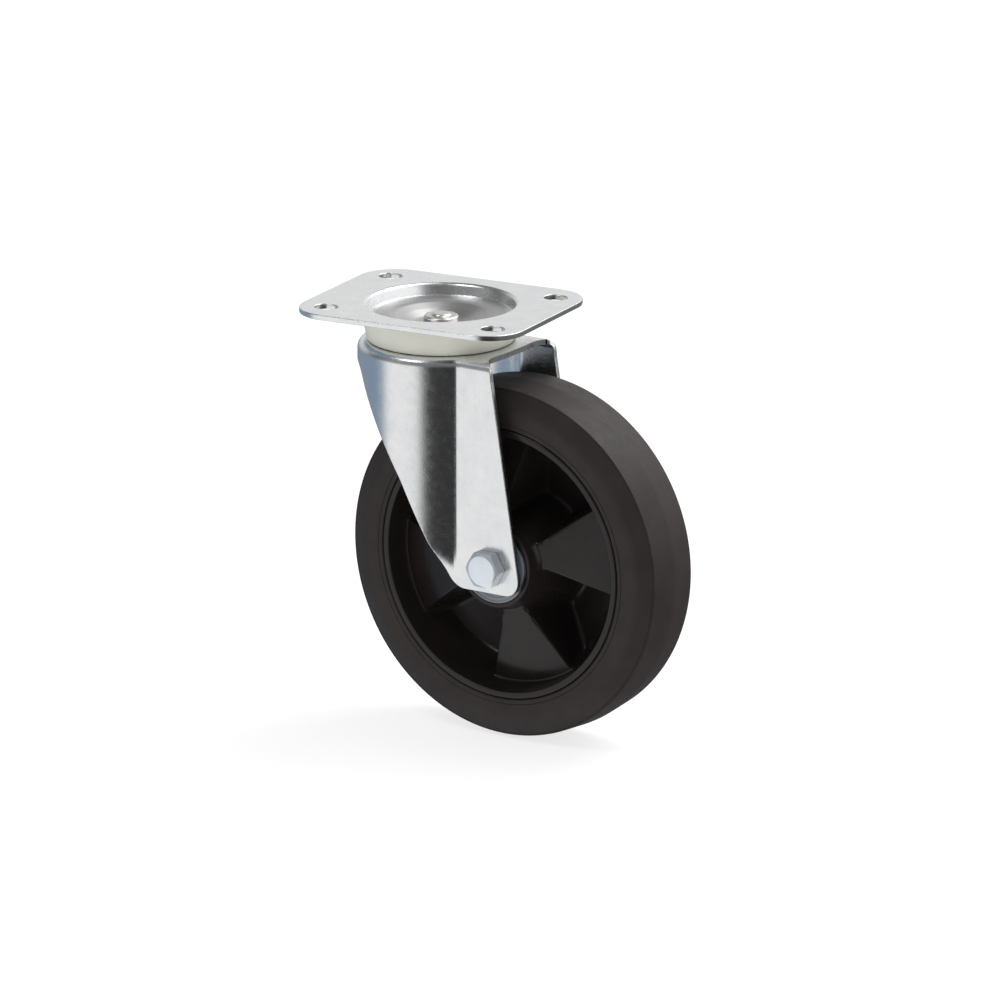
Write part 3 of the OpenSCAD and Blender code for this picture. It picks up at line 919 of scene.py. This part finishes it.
def smooth_floor():
    """A pale matt floor just under the tyre, which glows a little so that it shows nearly white."""
    half = 9.0
    z = packed_lo.z - 0.0004
    corners = [(-half, -half, z), (half, -half, z), (half, half, z), (-half, half, z)]
    mesh = bpy.data.meshes.new("floor")
    mesh.from_pydata(corners, [], [[0, 1, 2, 3]])
    obj = bpy.data.objects.new("floor", mesh)
    bpy.context.scene.collection.objects.link(obj)
    s = Shader("floor_paint").set(Roughness=0.9, Emission_Color=(1, 1, 1, 1), Emission_Strength=0.75)
    s.patchy("Base Color", 0.40, 0.41, scale=3, detail=1)
    obj.data.materials.append(s.material)
    obj.visible_glossy = False


smooth_floor()

# Photo angle: azimuth and elevation in degrees, and the camera's distance and shift from the wheel in metres
camera_azimuth = 27.31
camera_elevation = 16.10
camera_distance = 4.9355
camera_shift = (-0.011917, 0.029441)
az, el = math.radians(camera_azimuth), math.radians(camera_elevation)
to_right = Vector((math.cos(az), math.sin(az), 0))
to_back = Vector((math.sin(az) * math.cos(el), -math.cos(az) * math.cos(el), math.sin(el)))
to_up = to_back.cross(to_right)
camera_data = bpy.data.cameras.new("camera")
camera_data.lens = 324
camera_data.sensor_width = 36
camera_data.clip_end = 60
camera = bpy.data.objects.new("camera", camera_data)
bpy.context.scene.collection.objects.link(camera)
camera.location = (wheel_centre + to_back * camera_distance
                   + to_right * camera_shift[0] + to_up * camera_shift[1])
camera.rotation_mode = "QUATERNION"
camera.rotation_quaternion = (-to_back).to_track_quat("-Z", "Y")
bpy.context.scene.camera = camera


def world_light():
    """Studio surroundings: bright above, and below the horizon the cards and dark gaps that metal mirrors."""
    world = bpy.data.worlds.new("studio")
    bpy.context.scene.world = world
    world.use_nodes = True
    tree = world.node_tree
    tree.nodes.clear()
    output = tree.nodes.new("ShaderNodeOutputWorld")
    background = tree.nodes.new("ShaderNodeBackground")
    tree.links.new(background.outputs["Background"], output.inputs["Surface"])
    direction = tree.nodes.new("ShaderNodeTexCoord").outputs["Generated"]

    def dot(vector):
        n = tree.nodes.new("ShaderNodeVectorMath")
        n.operation = "DOT_PRODUCT"
        tree.links.new(direction, n.inputs[0])
        n.inputs[1].default_value = vector
        return n.outputs["Value"]

    def map_range(value, start, end):
        """A node that maps a value from between start and end to 0 to 1."""
        n = tree.nodes.new("ShaderNodeMapRange")
        n.inputs["From Min"].default_value = start
        n.inputs["From Max"].default_value = end
        tree.links.new(value, n.inputs["Value"])
        return n

    bearing = tree.nodes.new("ShaderNodeMath")
    bearing.operation = "ARCTAN2"
    tree.links.new(dot(tuple(to_right)), bearing.inputs[0])
    tree.links.new(dot((to_back.x, to_back.y, 0)), bearing.inputs[1])
    way_round = map_range(bearing.outputs[0], -math.pi, math.pi).outputs["Result"]

    def ring(stops):
        """A ring of surroundings from stops of (bearing from the camera in degrees, colour or grey)."""
        return colour_ramp(tree, way_round, [((degrees + 180) / 360, c) for degrees, c in stops], "EASE")

    def height_mix(start, end, below, above):
        """Blends from one ring of surroundings to the next between two heights (sine of elevation)."""
        height = map_range(dot((0, 0, 1)), start, end)
        height.interpolation_type = "SMOOTHSTEP"
        mix = tree.nodes.new("ShaderNodeMix")
        mix.data_type = "RGBA"
        tree.links.new(height.outputs["Result"], mix.inputs["Factor"])
        tree.links.new(below, mix.inputs[MIX_A])
        tree.links.new(above, mix.inputs[MIX_B])
        return mix.outputs[MIX_RESULT]

    slate = (0.20, 0.25, 0.30)
    blue = (0.24, 0.31, 0.40)
    low = ring([(-180, slate), (-134, blue), (-92, blue), (-78, 0.95), (-36, 0.95), (-21, 0.035), (16, 0.03),
                (40, 0.10), (120, 0.14), (180, slate)])
    middle = ring([(-180, 0.83), (-140, 0.6), (-100, 0.14), (-70, 0.3), (-30, 0.22), (0, 0.14), (24, 0.16),
                   (42, 1.1), (120, 1.1), (180, 0.83)])
    top = ring([(-180, 0.22), (-120, 0.15), (-60, 0.2), (0, 0.2), (30, 0.3), (70, 1.0), (125, 1.0),
                (155, 0.35), (180, 0.22)])
    surroundings = height_mix(0.45, 0.62, height_mix(-0.12, 0.12, low, middle), top)
    tree.links.new(surroundings, background.inputs["Color"])
    background.inputs["Strength"].default_value = 1.0


world_light()


def soft_light(name, azimuth, elevation, distance, size, watts):
    """A square area light, placed by its bearing from the camera's side and its height."""
    data = bpy.data.lights.new(name, "AREA")
    data.size = size
    data.energy = watts
    obj = bpy.data.objects.new(name, data)
    bpy.context.scene.collection.objects.link(obj)
    a, e = az + math.radians(azimuth), math.radians(elevation)
    way = Vector((math.sin(a) * math.cos(e), -math.cos(a) * math.cos(e), math.sin(e)))
    middle = Vector((0.04, 0, -0.12))
    obj.location = middle + way * distance
    obj.rotation_mode = "QUATERNION"
    obj.rotation_quaternion = way.to_track_quat("Z", "Y")


soft_light("back_light", 120, 55, 1.6, 1.2, 14)
soft_light("left_light", -60, 58, 1.2, 0.45, 2.6)

view = bpy.context.scene.view_settings
view.view_transform = "Standard"
view.look = "None"
